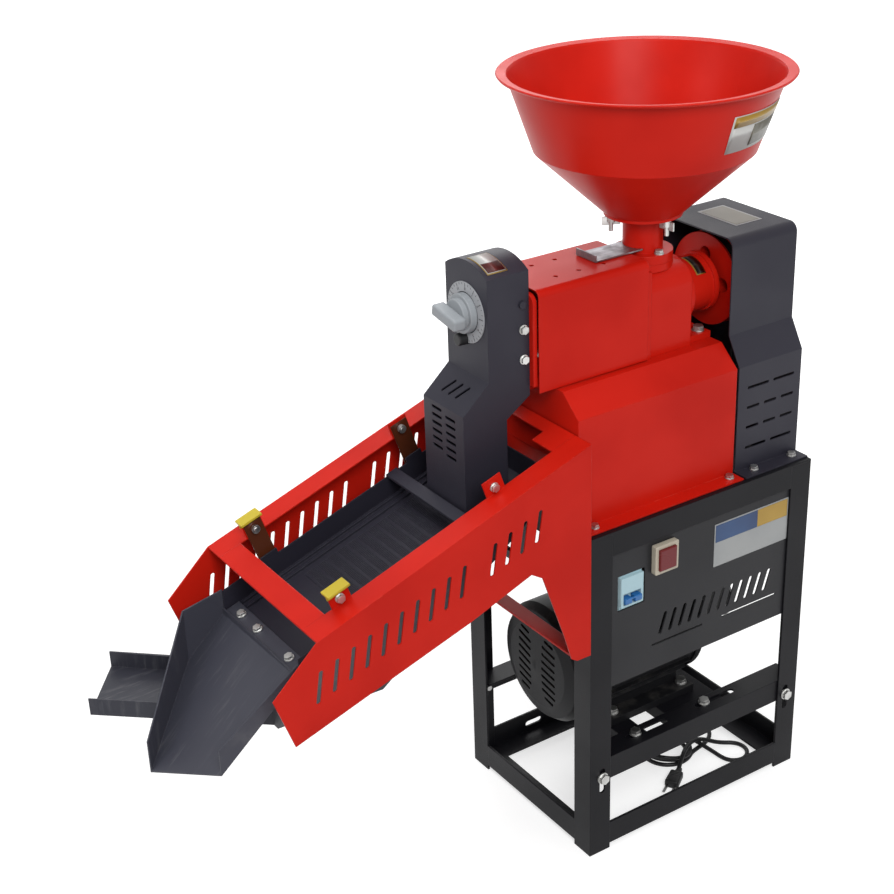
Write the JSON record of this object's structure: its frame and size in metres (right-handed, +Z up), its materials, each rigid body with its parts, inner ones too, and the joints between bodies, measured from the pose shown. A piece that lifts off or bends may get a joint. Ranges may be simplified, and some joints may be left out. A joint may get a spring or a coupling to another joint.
{
  "type": "rice huller",
  "caption": "Electric rice huller: round feed hopper, roller mill with adjustable outlet, belt drive in a guard, and a hanging shaker sieve with two chutes on an angle-steel motor stand.",
  "frame": {"origin": "middle of the footprint on the floor, under the middle of the machine's box with the cord left out", "axes": "+X along the shafts from the chutes towards the belt guard, +Y to the back, away from the switch panel, +Z up"},
  "size_m": [0.954, 0.4354, 1.0426],
  "materials": {
    "red_enamel": "satin red enamel",
    "dark_powder": "charcoal powder coat",
    "black_frame": "satin black paint",
    "motor_black": "matte black paint",
    "zinc": "zinc plated",
    "bright_steel": "plain bright steel",
    "grey_iron": "bare",
    "brown_strip": "brown laminate",
    "yellow_cap": "yellow",
    "grey_plastic": "grey",
    "dial_grey": "light grey",
    "black_plastic": "black",
    "black_rubber": "black",
    "cream_plastic": "cream",
    "dark_red_plastic": "dark red",
    "pale_plastic": "pale grey",
    "blue_plastic": "blue"
  },
  "bodies": {
    "stand": {"stand_legs": "black_frame", "stand_rings": "black_frame", "front_panel": "black_frame", "motor_rails": "black_frame", "motor_cross_rails": "black_frame", "motor_body": "motor_black", "motor_end_shields": "motor_black", "motor_fan_cover": "motor_black", "terminal_box": "motor_black", "cord_gland": "black_plastic", "bran_hood": "red_enamel", "mill_cover": "red_enamel", "chamber_end_plate": "red_enamel", "feed_housing": "red_enamel", "hopper": "red_enamel", "hopper_neck": "red_enamel", "sieve_side_near": "red_enamel", "sieve_side_far": "red_enamel", "sieve_bars": "red_enamel", "belt_guard": "dark_powder", "outlet_head": "dark_powder", "rice_screen": "bright_steel", "ball_bearings": "bright_steel", "flap_pin": "bright_steel", "flap_spring": "bright_steel", "shaker_bearings": "grey_iron", "wing_bolts": "zinc", "strip_bolts": "zinc", "machine_bolts": "zinc", "hanger_caps": "yellow_cap", "dial_ring": "dial_grey", "breaker_body": "pale_plastic", "button_bezel": "cream_plastic", "belts": "black_rubber", "cord_tube": "black_rubber", "cord_hank": "black_rubber", "mains_plug": "black_rubber"},
    "main_rotor": {"main_pulley": "red_enamel", "milling_roller": "grey_iron", "feed_screw": "grey_iron", "main_shaft": "bright_steel"},
    "motor_spindle": {"motor_rotor": "grey_iron", "motor_fan": "black_plastic", "motor_pulley": "grey_iron"},
    "shaker": {"shaker_shaft": "bright_steel", "shaker_pulley": "grey_iron"},
    "sieve": {"sieve_tray": "dark_powder", "sieve_screen": "bright_steel", "tray_bridge": "dark_powder", "shaker_rod": "dark_powder", "main_chute": "dark_powder", "lower_pan": "dark_powder", "sieve_bolts": "zinc"},
    "near_hangers": {"near_strips": "brown_strip"},
    "far_hangers": {"far_strips": "brown_strip"},
    "knob": {"pressure_knob": "grey_plastic"},
    "flap": {"pressure_flap": "bright_steel"},
    "gate": {"feed_gate": "bright_steel"},
    "breaker_lever": {"breaker_toggle": "blue_plastic"},
    "stop_button": {"push_button": "dark_red_plastic"}
  },
  "joints": [
    {"name": "motor_spin", "type": "hinge", "parent": "stand", "child": "motor_spindle", "pos_m": [0.227, -0.02525, 0.238], "axis": [1, 0, 0], "continuous": true},
    {"name": "main_shaft_spin", "type": "hinge", "parent": "stand", "child": "main_rotor", "pos_m": [0.247, -0.03325, 0.745], "axis": [1, 0, 0], "continuous": true},
    {"name": "shaker_spin", "type": "hinge", "parent": "stand", "child": "shaker", "pos_m": [0.277, 0.05475, 0.43], "axis": [1, 0, 0], "continuous": true},
    {"name": "sieve_shake", "type": "slide", "parent": "stand", "child": "sieve", "axis": [0, 1, 0], "range_m": [-0.003, 0.003], "stiffness_N_per_m": 3000},
    {"name": "near_strip_swing", "type": "hinge", "parent": "stand", "child": "near_hangers", "pos_m": [-0.248, -0.1255, 0.52655], "axis": [0.9471, 0, 0.3211], "range_deg": [-4, 4]},
    {"name": "far_strip_swing", "type": "hinge", "parent": "stand", "child": "far_hangers", "pos_m": [-0.248, 0.083, 0.52655], "axis": [0.9471, 0, 0.3211], "range_deg": [-4, 4]},
    {"name": "knob_turn", "type": "hinge", "parent": "stand", "child": "knob", "pos_m": [0.005, -0.03325, 0.79], "axis": [1, 0, 0], "range_deg": [0, 270]},
    {"name": "flap_swing", "type": "hinge", "parent": "stand", "child": "flap", "pos_m": [0.056, -0.03325, 0.8], "axis": [0, 1, 0], "range_deg": [0, 18], "stiffness_Nm_per_rad": 0.3, "springref_deg": -34.38},
    {"name": "gate_slide", "type": "slide", "parent": "stand", "child": "gate", "axis": [-1, 0, 0], "range_m": [0, 0.048]},
    {"name": "breaker_switch", "type": "hinge", "parent": "stand", "child": "breaker_lever", "pos_m": [0.1655, -0.15625, 0.3925], "axis": [-1, 0, 0], "range_deg": [0, 35]},
    {"name": "button_press", "type": "slide", "parent": "stand", "child": "stop_button", "axis": [0, 1, 0], "range_m": [0, 0.004], "stiffness_N_per_m": 400, "springref_m": -0.002}
  ],
  "couplings": [
    {"joint": "main_shaft_spin", "follows": "motor_spin", "ratio": 0.57143},
    {"joint": "shaker_spin", "follows": "motor_spin", "ratio": 1.0588},
    {"joint": "near_strip_swing", "follows": "sieve_shake", "rad_per_m": 20},
    {"joint": "far_strip_swing", "follows": "sieve_shake", "rad_per_m": 20}
  ]
}
